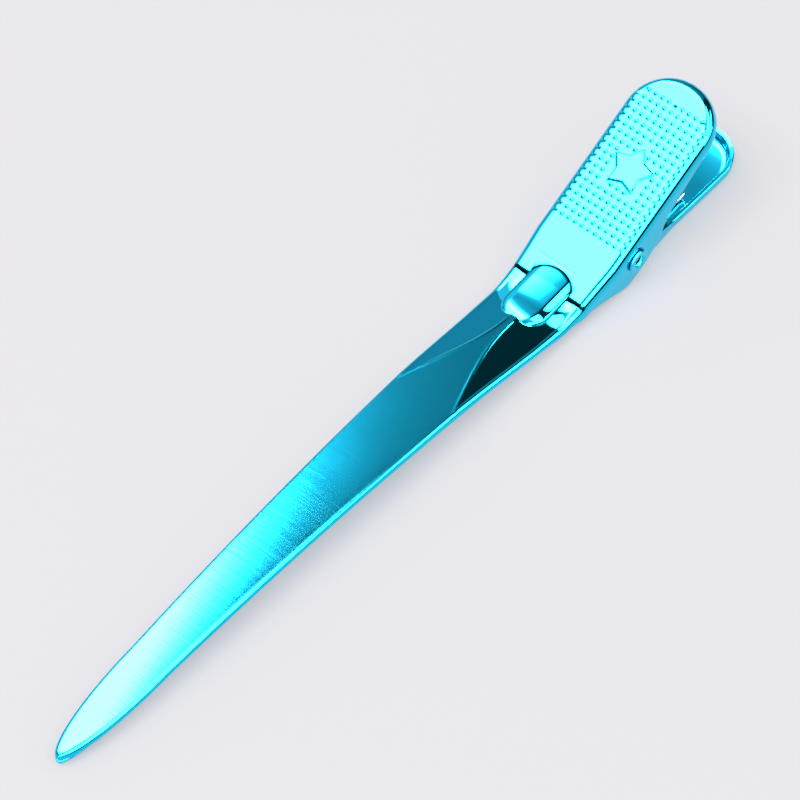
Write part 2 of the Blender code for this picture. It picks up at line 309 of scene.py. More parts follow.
# Camera: seen from the front left and above, through a long lens
CAMERA_AZIMUTH = math.radians(40)
CAMERA_ELEVATION = math.radians(52)
CAMERA_DISTANCE = 0.682
CAMERA_LENS = 296


def smooth_curve(stations, s):
    """Values at s of a smooth curve through (position, value) stations, without overshoot."""
    places, values = np.array(stations).T
    slopes = np.diff(values) / np.diff(places)
    product = slopes[:-1] * slopes[1:]
    same_way = product > 0
    inner = np.where(same_way, 2 * product / np.where(same_way, slopes[:-1] + slopes[1:], 1.0), 0.0)
    tangents = np.concatenate([slopes[:1], inner, slopes[-1:]])
    s = np.clip(s, places[0], places[-1])
    k = np.clip(np.searchsorted(places, s, side="right") - 1, 0, len(slopes) - 1)
    span = places[k + 1] - places[k]
    t = (s - places[k]) / span
    rise = t * t * (3 - 2 * t)
    leave = t * (1 - t) ** 2 * tangents[k]
    arrive = t * t * (t - 1) * tangents[k + 1]
    return values[k] + rise * (values[k + 1] - values[k]) + span * (leave + arrive)


def ease(low, high, s):
    """0 at low, 1 at high, and a smooth step between."""
    t = np.clip((s - low) / (high - low), 0.0, 1.0)
    return t * t * (3 - 2 * t)


def at_least(value, floor, blend):
    """The value or the floor, whichever is more, with a rounded corner between them."""
    above = value - floor
    corner = (above + blend) ** 2 / (4 * blend)
    return floor + np.where(np.abs(above) < blend, corner, np.clip(above, 0.0, None))


def ellipse_end(distance, length):
    """Half width of a rounded end, as a share of its full half width."""
    t = 1 - np.clip(distance / length, 0.0, 1.0)
    return np.sqrt(1 - t * t)


def bow(s):
    """Height of the lower blade's underside: an arch over the blade that runs out flat under the ears."""
    u = (s + BOW_HALF_SPAN) / BOW_HALF_SPAN
    arch = BOW_RISE * (1 - u * u)
    u_end = (BOW_END + BOW_HALF_SPAN) / BOW_HALF_SPAN
    height = BOW_RISE * (1 - u_end * u_end)
    fall = 2 * BOW_RISE * u_end / BOW_HALF_SPAN
    run_out = 2 * height / fall
    left = np.clip(1 - (s - BOW_END) / run_out, 0.0, None)
    return np.where(s <= BOW_END, arch, height * left * left)


def between_tip_and_neck(at_tip, at_neck, s):
    """A value that changes evenly along the blade and keeps its last value past the neck."""
    return at_tip + (at_neck - at_tip) * np.clip(1 + s / BLADE_LENGTH, 0.0, 1.0)


def lower_blade_depth(s):
    """How far the lower blade's rim stands above its underside's bow."""
    return between_tip_and_neck(LOWER_DEPTH_TIP, LOWER_DEPTH_NECK, s)


def upper_blade_depth(s):
    """From the closed pair's top down to the upper blade's edge."""
    return between_tip_and_neck(CLOSED_TIP, CLOSED_NECK, s) - lower_blade_depth(s) - BLADE_GAP


def blade_stations(inset, root):
    """Half widths of a blade in sheet positions, followed by those of its neck and tail."""
    return [(distance - BLADE_LENGTH, width - inset) for distance, width in BLADE_WIDTHS] + root


def star_distance(x, s):
    """Distance outside the five-pointed star's outline, negative inside it."""
    sector = 2 * math.pi / 5
    angle = np.arctan2(x, s - STAR_S)
    folded = np.abs((angle + sector / 2) % sector - sector / 2)
    reach = np.hypot(x, s - STAR_S)
    notch = STAR_RADIUS * STAR_NOTCH
    edge = (notch * math.cos(sector / 2) - STAR_RADIUS, notch * math.sin(sector / 2))
    length = math.hypot(*edge)
    return ((reach * np.cos(folded) - STAR_RADIUS) * edge[1] - reach * np.sin(folded) * edge[0]) / length


def stretch(start, end, spacing):
    """Evenly spaced positions from start up to, but not at, the end."""
    count = max(1, round((end - start) / spacing))
    return [start + (end - start) * k / count for k in range(count)]


class Jaw:
    """Widths, heights and depths of one stamped jaw, as functions of the position s along its sheet.

    Each kind of jaw says how many steps its top has across, how many rows its tip and tail have, and where
    each spacing of the rows between them starts.
    """

    def __init__(self, tail_length, tail_ellipse, widths, depths, crowns):
        self.tail_length = tail_length
        self.tail_ellipse = tail_ellipse
        self.widths = widths
        self.depths = depths
        self.crowns = crowns

    def half_width(self, s):
        full = smooth_curve(self.widths, s)
        tip = ellipse_end(s + BLADE_LENGTH, TIP_ELLIPSE)
        tail = ellipse_end(self.tail_length - s, self.tail_ellipse)
        return full * tip * tail

    def edge_radius(self, s):
        return BLADE_EDGE_RADIUS + (PAD_EDGE_RADIUS - BLADE_EDGE_RADIUS) * ease(*EDGE_GROWS, s)

    def crown(self, x, s):
        across = x / smooth_curve(self.widths, s)
        return -smooth_curve(self.crowns, s) * across * across

    def height(self, x, s):
        """The sheet's main shape, above its flat place."""
        return self.crown(x, s)

    def emboss(self, x, s):
        """What is pressed into the sheet after its main shape."""
        return np.zeros_like(x)

    def rows(self):
        """Sheet positions of the outline points, closest where the sheet has its finest detail."""
        tail_start = self.tail_length - self.tail_ellipse
        ends = [start for start, _ in self.spacings[1:]] + [tail_start]
        positions = [-BLADE_LENGTH + (TIP_END + BLADE_LENGTH) * (k / self.tip_rows) ** 2
                     for k in range(self.tip_rows)]
        for (start, spacing), end in zip(self.spacings, ends):
            positions += stretch(start, end, spacing)
        turns = [math.pi / 2 * k / self.tail_rows for k in range(self.tail_rows + 1)]
        return positions + [self.tail_length - self.tail_ellipse * math.cos(turn) for turn in turns]


class UpperJaw(Jaw):
    """The outer jaw: its edges and ears point down, and its tail is bent up."""

    top_steps = 50
    tip_rows = 24
    tail_rows = 70
    spacings = [(TIP_END, 0.8), (-24.0, 0.25), (-9.0, 0.09), (3.6, 0.2), (7.0, 0.085)]

    def __init__(self):
        widths = blade_stations(0.0, [(-1.5, NECK_HALF_WIDTH), (5.0, PAD_HALF_WIDTH)])
        pivot_s, pivot_h = self.pivot_on_sheet()
        ear = UPPER_EAR_RADIUS - pivot_h
        depths = [(UPPER_EARS_START, 1.25), (0.0, 1.9), (2.7, 3.3), (6.0, ear - 0.05), (pivot_s, ear),
                  (10.5, ear - 0.4), (12.1, 4.0), (14.0, 2.9), (17.4, 2.3), (21.0, 1.8), (UPPER_TAIL, 1.6)]
        crowns = [(-BLADE_LENGTH, 0.25), (-60.0, 0.36), (-30.0, 0.5), (-22.0, 0.46), (-8.0, 0.4)]
        super().__init__(UPPER_TAIL, TAIL_ELLIPSE, widths, depths, crowns)

    @staticmethod
    def before_bend(s):
        """Height of the centre line as it would be without the bend."""
        return bow(s) + between_tip_and_neck(CLOSED_TIP, CLOSED_NECK, s)

    @staticmethod
    def centre_line(s):
        """Points (y, z) and slopes of the bent centre line at s."""
        turned = np.clip((s - BEND_START) / BEND_RADIUS, 0.0, TAIL_ANGLE)
        straight = s - BEND_START - turned * BEND_RADIUS
        y = BEND_START + BEND_RADIUS * np.sin(turned) + straight * np.cos(turned)
        rise = BEND_RADIUS * (1 - np.cos(turned)) + np.clip(straight, 0.0, None) * np.sin(turned)
        return y, UpperJaw.before_bend(s) + rise, turned

    @staticmethod
    def pivot_on_sheet():
        """The pivot's place in flat sheet coordinates (s, h)."""
        start = BEND_START + BEND_RADIUS * TAIL_ANGLE
        y, z, slope = UpperJaw.centre_line(start)
        dy, dz = PIVOT_Y - y, PIVOT_Z - z
        along = dy * math.cos(slope) + dz * math.sin(slope)
        above = dz * math.cos(slope) - dy * math.sin(slope)
        return start + along, above

    @staticmethod
    def ridge(s):
        """Distance from the middle line to the ridge where a root facet starts."""
        return smooth_curve(RIDGE, s)

    @staticmethod
    def neck(x, s):
        """0 on the blade and its facets, rising faster and faster to 1 at the bend line."""
        inside_v = NECK_V_HALF_WIDTH - np.hypot(x, NECK_V_ROUNDING)
        start = FACET_END + NECK_V_HALF_WIDTH - at_least(inside_v, 0.0, NECK_V_END_BLEND)
        return np.clip(at_least(1 - s / start, 0.0, NECK_START_BLEND), 0.0, 1.0) ** NECK_POWER

    @staticmethod
    def barrel(inside):
        """Height of the dome's cross-section, from how far inside its outline a point is."""
        return (DOME_DROP + DOME_HEIGHT) * np.sqrt(np.clip(inside, 0.0, None)) - DOME_DROP

    def dome(self, x, s):
        """How far the barrel-shaped dome lifts the sheet, until the steeper pad comes up to meet it."""
        y, z, slope = self.centre_line(s)
        nose = np.clip((DOME_SHOULDER - s) / DOME_NOSE, 0.0, 1.0)
        inside = 1 - (x / DOME_HALF_WIDTH) ** 2 - nose * nose
        climb = DOME_SLOPE * at_least(y - DOME_SHOULDER, 0.0, DOME_SLOPE_BLEND)
        top = self.before_bend(s) + climb + self.barrel(inside)
        lift = top - z - self.height(x, s) * np.cos(slope)
        return np.where(inside > 0, at_least(lift, 0.0, DOME_EDGE_BLEND), 0.0)

    def crease(self, x):
        """Sheet position where the dome, or the strip beside it, meets the pad."""
        shoulder = self.barrel(1 - (x / DOME_HALF_WIDTH) ** 2) - DOME_SLOPE * DOME_SHOULDER
        closing = math.tan(TAIL_ANGLE) - DOME_SLOPE + BEND_ALLOWANCE
        return np.clip(shoulder, 0.0, None) / closing / math.cos(TAIL_ANGLE)

    def height(self, x, s):
        side = np.abs(x)
        ridge = self.ridge(s)
        crown = self.crown(x, s)
        facet = self.crown(ridge, s) - FACET_SLOPE * (side - ridge)
        beyond = ease(-RIDGE_BLEND, RIDGE_BLEND, side - ridge)
        blade = np.where(s < RIDGE_START, crown, np.minimum(crown, crown + (facet - crown) * beyond))
        fading = ease(*BEAD_FADES_IN, s) * ease(*BEAD_FADES_OUT, s)
        blade = blade + fading * RIDGE_BEAD * np.exp(-((side - ridge) / RIDGE_BEAD_WIDTH) ** 2)
        groove = GROOVE_DEPTH * np.exp(-((s - self.crease(x)) / GROOVE_WIDTH) ** 2)
        return blade * (1 - self.neck(x, s)) - groove

    def emboss(self, x, s):
        column = np.round(x / DOT_PITCH)
        row = np.round((s - DOTS_START) / DOT_PITCH)
        centre_x, centre_s = column * DOT_PITCH, DOTS_START + row * DOT_PITCH
        away = np.hypot(x - centre_x, s - centre_s) / DOT_RADIUS
        there = (np.abs(column) <= DOT_COLUMNS) & (row >= 0) & (row < DOT_ROWS)
        there &= star_distance(centre_x, centre_s) > DOT_TO_STAR
        there &= self.half_width(centre_s) > np.abs(centre_x) + DOT_TO_EDGE
        dots = np.where(there, DOT_HEIGHT * np.clip(1 - away * away, 0.0, None), 0.0)
        star = STAR_HEIGHT * ease(STAR_BEVEL, -STAR_BEVEL, star_distance(x, s))
        crease = np.exp(-((s - PAD_CREASE_S) / PAD_CREASE_WIDTH) ** 2)
        crease = crease * ease(*PAD_CREASE_LEFT, x) * ease(*PAD_CREASE_RIGHT, x)
        return dots + star - PAD_CREASE_DEPTH * crease

    def finish_and_painted_shade(self, x, s):
        """1 where the sheet is brushed, 0 where it is polished and -1 in the groove, where shade is
        painted.
        """
        before_ridge = ease(*BRUSHING_PAST_RIDGE, np.abs(x) - self.ridge(s))
        brushed = np.where(s < RIDGE_START, 1.0, before_ridge) * ease(*UPPER_BRUSHING_END, s)
        # Painted shade: -1 in a band along the groove, kept as wide where the groove slants
        slant = (self.crease(x + SLANT_STEP) - self.crease(x - SLANT_STEP)) / (2 * SLANT_STEP)
        return brushed - np.exp(-((s - self.crease(x)) / np.hypot(1, slant) / GROOVE_PAINTED_SHADE_WIDTH) ** 4)

    def depth(self, s):
        rim = upper_blade_depth(s)
        return np.where(s < UPPER_EARS_START, rim, np.maximum(rim, smooth_curve(self.depths, s)))

    def place(self, x, s, h):
        y, z, slope = self.centre_line(s)
        return x, y - h * np.sin(slope), z + h * np.cos(slope) + self.dome(x, s)


class LowerJaw(Jaw):
    """The inner jaw: its edges and ears point up, and its tail lies flat but for its lifted end."""

    top_steps = 18
    tip_rows = 20
    tail_rows = 32
    spacings = [(TIP_END, 1.2), (-6.0, 0.3), (16.0, 0.6)]

    def __init__(self):
        widths = blade_stations(LOWER_BLADE_INSET, [
            (-4.0, 4.15), (-1.0, LOWER_NECK_HALF_WIDTH), (1.0, LOWER_NECK_HALF_WIDTH),
            (5.0, LOWER_EAR_HALF_WIDTH), (11.5, LOWER_EAR_HALF_WIDTH), (16.0, LOWER_PAD_HALF_WIDTH)])
        top = PIVOT_Z + LOWER_EAR_RADIUS
        depths = [(LOWER_EARS_START, 0.85), (3.0, 1.8), (6.0, top - 0.5), (PIVOT_Y, top), (10.8, top - 0.5),
                  (14.0, 2.4), (17.0, 1.8), (LOWER_TAIL, 1.7)]
        crowns = [(-BLADE_LENGTH, 0.2), (-60.0, 0.26), (-10.0, 0.3), (-1.0, 0.0)]
        super().__init__(LOWER_TAIL, LOWER_TAIL_ELLIPSE, widths, depths, crowns)

    def finish_and_painted_shade(self, x, s):
        """1 where the sheet is brushed and 0 where it is polished."""
        return ease(*LOWER_BRUSHING_END, s)

    @staticmethod
    def under_facets(s):
        """1 where the upper jaw's facets come down over this jaw's rim."""
        return ease(*FACETS_BEGIN, s) * ease(*FACETS_STOP, s)

    def edge_radius(self, s):
        return super().edge_radius(s) - TIGHTER_EDGE * self.under_facets(s)

    def depth(self, s):
        rim = np.where(s < LOWER_EARS_START, lower_blade_depth(s), smooth_curve(self.depths, s))
        return rim - ROOM_FOR_FACETS * self.under_facets(s)

    def place(self, x, s, h):
        past = np.clip((s - LIFT_START) / (LOWER_TAIL - LIFT_START), 0.0, None)
        return x, s, bow(s) - h + LIFT * past * past


def spine_position(jaw, s):
    """Where the rib of an outline point starts on the middle line; ribs fan out at both round ends."""
    for distance, reach, end, sign in ((s + BLADE_LENGTH, TIP_FAN, -BLADE_LENGTH, 1),
                                       (jaw.tail_length - s, TAIL_FAN, jaw.tail_length, -1)):
        if distance < reach:
            return end + sign * reach * (0.5 + 0.5 * (distance / reach) ** 2)
    return s


def rib(jaw, s, side):
    """Half section from the middle line round the edge and back, as rows of x, s, h, and brushing with
    painted shade in the groove.

    x is positive on both sides of the middle line, and side, 1 or -1, picks the pressed detail.
    """
    middle = spine_position(jaw, s)
    width, run = float(jaw.half_width(s)), s - middle
    length = math.hypot(width, run)
    radius = min(float(jaw.edge_radius(s)), MOST_RADIUS_SHARE * length)
    inset = length - radius

    def along(reach):
        return width * reach / length, middle + run * reach / length

    flat = inset * np.linspace(0.0, 1.0, jaw.top_steps + 1)
    turn = math.pi / 2 * np.arange(1, EDGE_STEPS + 1) / EDGE_STEPS
    unrolled = np.concatenate([flat, inset + radius * turn])
    normal_out = np.concatenate([np.zeros_like(flat), np.sin(turn)])
    normal_up = np.concatenate([np.ones_like(flat), np.cos(turn)])
    rim = float(jaw.height(*along(inset)))
    depth = max(float(jaw.depth(s)), radius - rim + LEAST_FLANGE)
    unrolled_x, unrolled_s = along(unrolled)
    pressed = jaw.emboss(side * unrolled_x, unrolled_s)
    reach = np.concatenate([flat, inset + radius * np.sin(turn)]) + normal_out * pressed
    height = np.concatenate([jaw.height(*along(flat)), rim - radius * (1 - np.cos(turn))])
    height = height + normal_up * pressed

    wall = length - min(SHEET, MOST_WALL_SHARE * length)
    lip = min(LIP, MOST_LIP_SHARE * (length - wall))
    skirt = -depth + lip
    flange = np.linspace(rim - radius, skirt, FLANGE_STEPS + 1)[1:]
    corner = math.pi / 2 * np.arange(1, CORNER_POINTS + 1) / (CORNER_POINTS + 1)
    outer_corner = (length - lip * (1 - np.cos(corner)), skirt - lip * np.sin(corner))
    inner_corner = (wall + lip * (1 - np.cos(corner[::-1])), skirt - lip * np.sin(corner[::-1]))
    inner_radius = max(radius - SHEET, 0.0)
    inside_turn = math.pi / 2 * np.arange(0, HOLLOW_STEPS + 1) / HOLLOW_STEPS
    hollow_reach = wall - inner_radius * (1 - np.cos(inside_turn))
    hollow_height = rim - SHEET - inner_radius * (1 - np.sin(inside_turn))
    under = np.linspace(min(inset, wall), 0.0, UNDER_STEPS + 1)[1:]
    reach = np.concatenate([reach, np.full(FLANGE_STEPS, length), outer_corner[0], inner_corner[0],
                            hollow_reach, under])
    height = np.concatenate([height, flange, outer_corner[1], inner_corner[1],
                             hollow_height, jaw.height(*along(under)) - SHEET])
    x, place_s = along(reach)
    finish_and_painted_shade = jaw.finish_and_painted_shade(x, place_s)
    finish_and_painted_shade[len(unrolled) - UNBRUSHED_EDGE_POINTS:] = 0.0
    return x, place_s, height, finish_and_painted_shade


def object_from(name, points, faces, material):
    """Make an object from points in millimetres."""
    mesh = bpy.data.meshes.new(name)
    mesh.from_pydata((np.asarray(points) * MM).tolist(), [], faces)
    thing = bpy.data.objects.new(name, mesh)
    bpy.context.scene.collection.objects.link(thing)
    mesh.materials.append(material)
    return thing


def clean(thing, merge, sharp_angle):
    """Merge seams, turn faces outwards, and shade smooth but for edges over the sharp angle in degrees."""
    work = bmesh.new()
    work.from_mesh(thing.data)
    bmesh.ops.remove_doubles(work, verts=work.verts, dist=merge * MM)
    bmesh.ops.dissolve_degenerate(work, edges=work.edges, dist=0.0002 * MM)
    bmesh.ops.recalc_face_normals(work, faces=work.faces)
    work.to_mesh(thing.data)
    work.free()
    thing.data.shade_smooth()
    thing.data.set_sharp_from_angle(angle=math.radians(sharp_angle))


def loft(sections, closed_section, capped, first=0):
    """Faces between successive sections of equal length, as indices that start at first."""
    size = len(sections[0])
    faces = []
    for row in range(len(sections) - 1):
        for k in range(size if closed_section else size - 1):
            after = (k + 1) % size
            a, b = first + row * size, first + (row + 1) * size
            faces.append((a + k, a + after, b + after, b + k))
    if capped:
        last = first + size * len(sections)
        faces.append(tuple(range(first, first + size)))
        faces.append(tuple(last - 1 - k for k in range(size)))
    return faces


def build_jaw(name, jaw, material):
    """Loft a jaw's half sections from tip to tail on both sides of its middle line."""
    points, faces, finish_and_painted_shade_rows = [], [], []
    for side in (1, -1):
        sections = []
        for s in jaw.rows():
            x, along, height, finish_and_painted_shade = rib(jaw, s, side)
            placed_x, y, z = jaw.place(side * x, along, height)
            sections.append(np.stack([placed_x, y - MID_Y, z], axis=1))
            finish_and_painted_shade_rows.append(finish_and_painted_shade)
        half = loft(sections, False, False, len(points) * len(sections[0]))
        faces += half if side > 0 else [face[::-1] for face in half]
        points += sections
    thing = object_from(name, np.concatenate(points), faces, material)
    # Brushing of the sheet, and painted shade in the groove, kept on each point for the material
    kept = thing.data.attributes.new("finish_and_painted_shade", "FLOAT", "POINT")
    kept.data.foreach_set("value", np.concatenate(finish_and_painted_shade_rows).astype(np.float32))
    clean(thing, merge=0.004, sharp_angle=32)
    return thing


def turned(profile, segments):
    """Rings of a profile (x, radius) turned about the pivot axis."""
    rings = []
    for x, radius in profile:
        angle = 2 * math.pi * np.arange(segments) / segments
        y = PIVOT_Y - MID_Y + radius * np.cos(angle)
        z = PIVOT_Z + radius * np.sin(angle)
        rings.append(np.stack([np.full(segments, x), y, z], axis=1))
    return rings


def arc_profile(centre_x, centre_radius, radius, start, end, points):
    """Points (x, radius) of an arc in a turned profile, with angles in degrees from +x."""
    angles = np.radians(np.linspace(start, end, points))
    return [(centre_x + radius * math.cos(a), centre_radius + radius * math.sin(a)) for a in angles]


def build_pin(material):
    """Semi-tubular rivet: a domed head on the left and a flared hollow end on the right."""
    inner = PAD_HALF_WIDTH + HEAD_GAP
    outer = inner + HEAD_THICKNESS
    profile = []
    for k in range(HEAD_STEPS + 1):
        out = k / HEAD_STEPS
        fall = HEAD_THICKNESS * HEAD_CROWN * out ** HEAD_CROWN_POWER
        profile.append((-outer + fall, HEAD_RADIUS * (HEAD_FLAT + (1 - HEAD_FLAT) * out)))
    profile += [(-inner, HEAD_RADIUS), (-inner, PIN_RADIUS)]
    roll = HEAD_THICKNESS / 2
    profile += [(inner, PIN_RADIUS), (inner, HEAD_RADIUS - roll)]
    profile += arc_profile(inner + roll, HEAD_RADIUS - roll, roll, start=160, end=0, points=9)
    profile += arc_profile(outer - THROAT_RADIUS, MOUTH_RADIUS, THROAT_RADIUS, start=0, end=-90, points=8)
    profile += [(outer - depth, radius) for depth, radius in BORE_END]
    rings = turned(profile, PIN_SEGMENTS)
    thing = object_from("rivet", np.concatenate(rings), loft(rings, True, True), material)
    clean(thing, merge=0.001, sharp_angle=40)
    return thing


def spring_arm(plate_angle, clearance, side):
    """One arm, from its curled end to where it leaves the bend, in a frame (u, v) at the pivot."""
    end_u = SPRING_ARM * math.cos(plate_angle) - side * clearance * math.sin(plate_angle)
    end_v = SPRING_ARM * math.sin(plate_angle) + side * clearance * math.cos(plate_angle)
    tangent = math.acos(SPRING_BEND_RADIUS / math.hypot(end_u, end_v))
    leave = math.atan2(end_v, end_u) + side * tangent
    slope = leave - side * math.pi / 2
    arm = [(end_u, end_v)]
    for k in range(1, SPRING_ARM_STEPS + 1):
        heading = slope - side * SPRING_CURL_ANGLE * k / SPRING_ARM_STEPS
        u = end_u + side * SPRING_CURL_RADIUS * (math.sin(slope) - math.sin(heading))
        v = end_v - side * SPRING_CURL_RADIUS * (math.cos(slope) - math.cos(heading))
        arm.insert(0, (u, v))
    foot = (SPRING_BEND_RADIUS * math.cos(leave), SPRING_BEND_RADIUS * math.sin(leave))
    for k in range(1, SPRING_ARM_STEPS):
        t = k / SPRING_ARM_STEPS
        arm.append((end_u + (foot[0] - end_u) * t, end_v + (foot[1] - end_v) * t))
    return arm, leave


def spring_line():
    """Centre line of the spring: lower arm, bend round the front of the pin, upper arm."""
    _, pivot_h = UpperJaw.pivot_on_sheet()
    taken = SHEET + SPRING_REST_GAP + SPRING_THICKNESS / 2
    lower_arm, lower_leave = spring_arm(0.0, PIVOT_Z - taken, -1)
    upper_arm, upper_leave = spring_arm(TAIL_ANGLE, -pivot_h - taken, 1)
    bend = []
    for k in range(SPRING_BEND_STEPS + 1):
        angle = lower_leave + (upper_leave - lower_leave - 2 * math.pi) * k / SPRING_BEND_STEPS
        bend.append((SPRING_BEND_RADIUS * math.cos(angle), SPRING_BEND_RADIUS * math.sin(angle)))
    return lower_arm + bend + upper_arm[::-1]


def build_spring(material):
    """A strip with rounded edges along the spring's centre line."""
    line = np.array(spring_line())
    ahead = np.concatenate([line[1:], line[-1:]]) - np.concatenate([line[:1], line[:-1]])
    ahead /= np.linalg.norm(ahead, axis=1)[:, None]
    flat_x, flat_t = SPRING_WIDTH / 2 - SPRING_BEVEL, SPRING_THICKNESS / 2 - SPRING_BEVEL
    corner = np.radians(np.array([0.0, 30.0, 60.0, 90.0]))
    outline = []
    for sign_x, sign_t in ((1, 1), (-1, 1), (-1, -1), (1, -1)):
        out = [(sign_x * (flat_x + SPRING_BEVEL * math.cos(a)),
                sign_t * (flat_t + SPRING_BEVEL * math.sin(a))) for a in corner]
        outline += out if sign_x * sign_t > 0 else out[::-1]
    sections = []
    for (u, v), (du, dv) in zip(line, ahead):
        sections.append([(x, PIVOT_Y - MID_Y + u - dv * t, PIVOT_Z + v + du * t) for x, t in outline])
    thing = object_from("leaf_strip", np.concatenate(sections), loft(sections, True, True), material)
    clean(thing, merge=0.001, sharp_angle=50)
    return thing


def drill_ears(jaw_object):
    """Cut the pin's holes through both ears of a jaw."""
    reach = PAD_HALF_WIDTH + PIN_HOLE_OVERRUN
    rings = turned([(-reach, PIN_HOLE_RADIUS), (reach, PIN_HOLE_RADIUS)], PIN_HOLE_SEGMENTS)
    faces = loft(rings, True, True)
    cutter = object_from("ear_drill", np.concatenate(rings), faces, jaw_object.data.materials[0])
    clean(cutter, merge=0.001, sharp_angle=40)
    cut = jaw_object.modifiers.new("pin_holes", "BOOLEAN")
    cut.operation = "DIFFERENCE"
    cut.object = cutter
    bpy.context.view_layer.update()
    graph = bpy.context.evaluated_depsgraph_get()
    drilled = bpy.data.meshes.new_from_object(jaw_object.evaluated_get(graph))
    jaw_object.modifiers.clear()
    jaw_object.data = drilled
    bpy.data.objects.remove(cutter, do_unlink=True)


def new_material(name):
    """A material with its nodes, its links and its surface shader."""
    material = bpy.data.materials.new(name)
    material.use_nodes = True
    nodes = material.node_tree.nodes
    return material, nodes, material.node_tree.links, nodes["Principled BSDF"]


def feed(links, value, socket):
    """Link a socket to another one, or set it to a number or colour."""
    if isinstance(value, bpy.types.NodeSocket):
        links.new(value, socket)
    else:
        socket.default_value = value


def maths(nodes, links, operation, a, b):
    """A maths node on two sockets or numbers."""
    node = nodes.new("ShaderNodeMath")
    node.operation = operation
    feed(links, a, node.inputs[0])
    feed(links, b, node.inputs[1])
    return node.outputs["Value"]


def times(nodes, links, a, b):
    """The product of two sockets or numbers."""
    return maths(nodes, links, "MULTIPLY", a, b)


def mapped(nodes, links, value, places=(0.0, 1.0), results=(0.0, 1.0), kind="LINEAR"):
    """A value mapped to run from the first result at one place to the second result at another."""
    node = nodes.new("ShaderNodeMapRange")
    node.interpolation_type = kind
    node.inputs["From Min"].default_value, node.inputs["From Max"].default_value = places
    node.inputs["To Min"].default_value, node.inputs["To Max"].default_value = results
    links.new(value, node.inputs["Value"])
    return node.outputs["Result"]


def step(nodes, links, value, places, results=(0.0, 1.0)):
    """A smooth step of a value, from the first result before one place to the second after another."""
    return mapped(nodes, links, value, places, results, "SMOOTHSTEP")


def mixed(nodes, links, factor, a, b):
    """A colour between two colours, each given as a colour or a socket."""
    node = nodes.new("ShaderNodeMix")
    node.data_type = "RGBA"
    links.new(factor, node.inputs["Factor"])
    feed(links, a, node.inputs["A"])
    feed(links, b, node.inputs["B"])
    return node.outputs["Result"]


def stretched_noise(nodes, links, frequencies, detail):
    """A noise texture in object space, finer along the axes with a larger frequency."""
    place = nodes.new("ShaderNodeTexCoord")
    mapping = nodes.new("ShaderNodeMapping")
    mapping.inputs["Scale"].default_value = frequencies
    noise = nodes.new("ShaderNodeTexNoise")
    noise.inputs["Scale"].default_value = 1.0
    noise.inputs["Detail"].default_value = detail
    links.new(place.outputs["Object"], mapping.inputs["Vector"])
    links.new(mapping.outputs["Vector"], noise.inputs["Vector"])
    return noise.outputs["Fac"]


def add_bump(nodes, links, shader, height, strength, distance):
    """Shade a surface as if heights from 0 to 1, times the distance in metres, were pressed into it."""
    bump = nodes.new("ShaderNodeBump")
    bump.inputs["Strength"].default_value = strength
    bump.inputs["Distance"].default_value = distance
    links.new(height, bump.inputs["Height"])
    links.new(bump.outputs["Normal"], shader.inputs["Normal"])


def plating_material():
    """Cyan electroplated steel: a mirror on the neck and pads, finely brushed across the blades, and with
    painted shade, near black, in the groove round the dome.
    """
    material, nodes, links, shader = new_material("cyan_plating")
    shader.inputs["Metallic"].default_value = 1.0
    finish_and_painted_shade = nodes.new("ShaderNodeAttribute")
    finish_and_painted_shade.attribute_name = "finish_and_painted_shade"
    brushed = mapped(nodes, links, finish_and_painted_shade.outputs["Fac"])
    # Mask of the painted shade in the groove
    groove = mapped(nodes, links, finish_and_painted_shade.outputs["Fac"], (0.0, -1.0))
    lines = stretched_noise(nodes, links, BRUSH_LINES, 3.0)
    cloud = stretched_noise(nodes, links, MIRROR_CLOUDS, 2.0)
    polish = mapped(nodes, links, cloud, results=MIRROR_ROUGHNESS)
    brushing = times(nodes, links, brushed, mapped(nodes, links, lines, results=ADDED_BY_BRUSHING))
    links.new(maths(nodes, links, "ADD", polish, brushing), shader.inputs["Roughness"])
    line_tint = times(nodes, links, brushed, mapped(nodes, links, lines))
    colour = mixed(nodes, links, line_tint, PLATING, BRUSHED_PLATING)
    # Painted shade: the base colour goes near black in the groove
    links.new(mixed(nodes, links, groove, colour, GROOVE_PAINTED_SHADE), shader.inputs["Base Color"])
    heights = times(nodes, links, brushed, lines)
    add_bump(nodes, links, shader, heights, BRUSH_BUMP_STRENGTH, BRUSH_BUMP_DISTANCE)
    return material


def rivet_material():
    """The same plating on the rivet, a little duller where it was hammered over."""
    material, nodes, links, shader = new_material("rivet_plating")
    shader.inputs["Metallic"].default_value = 1.0
    shader.inputs["Coat Weight"].default_value = 0.2
    shader.inputs["Coat Roughness"].default_value = 0.05
    cloud = stretched_noise(nodes, links, RIVET_CLOUDS, 3.0)
    links.new(mapped(nodes, links, cloud, results=RIVET_ROUGHNESS), shader.inputs["Roughness"])
    links.new(mixed(nodes, links, cloud, RIVET_PLATING, RIVET_DULL), shader.inputs["Base Color"])
    return material


def spring_material():
    """Bright rolled spring steel with fine lines along the strip."""
    material, nodes, links, shader = new_material("spring_steel")
    shader.inputs["Metallic"].default_value = 1.0
    lines = stretched_noise(nodes, links, ROLLING_LINES, 3.0)
    links.new(mapped(nodes, links, lines, results=STEEL_ROUGHNESS), shader.inputs["Roughness"])
    links.new(mixed(nodes, links, lines, STEEL_DARK, STEEL_LIGHT), shader.inputs["Base Color"])
    add_bump(nodes, links, shader, lines, ROLLING_BUMP_STRENGTH, ROLLING_BUMP_DISTANCE)
    return material


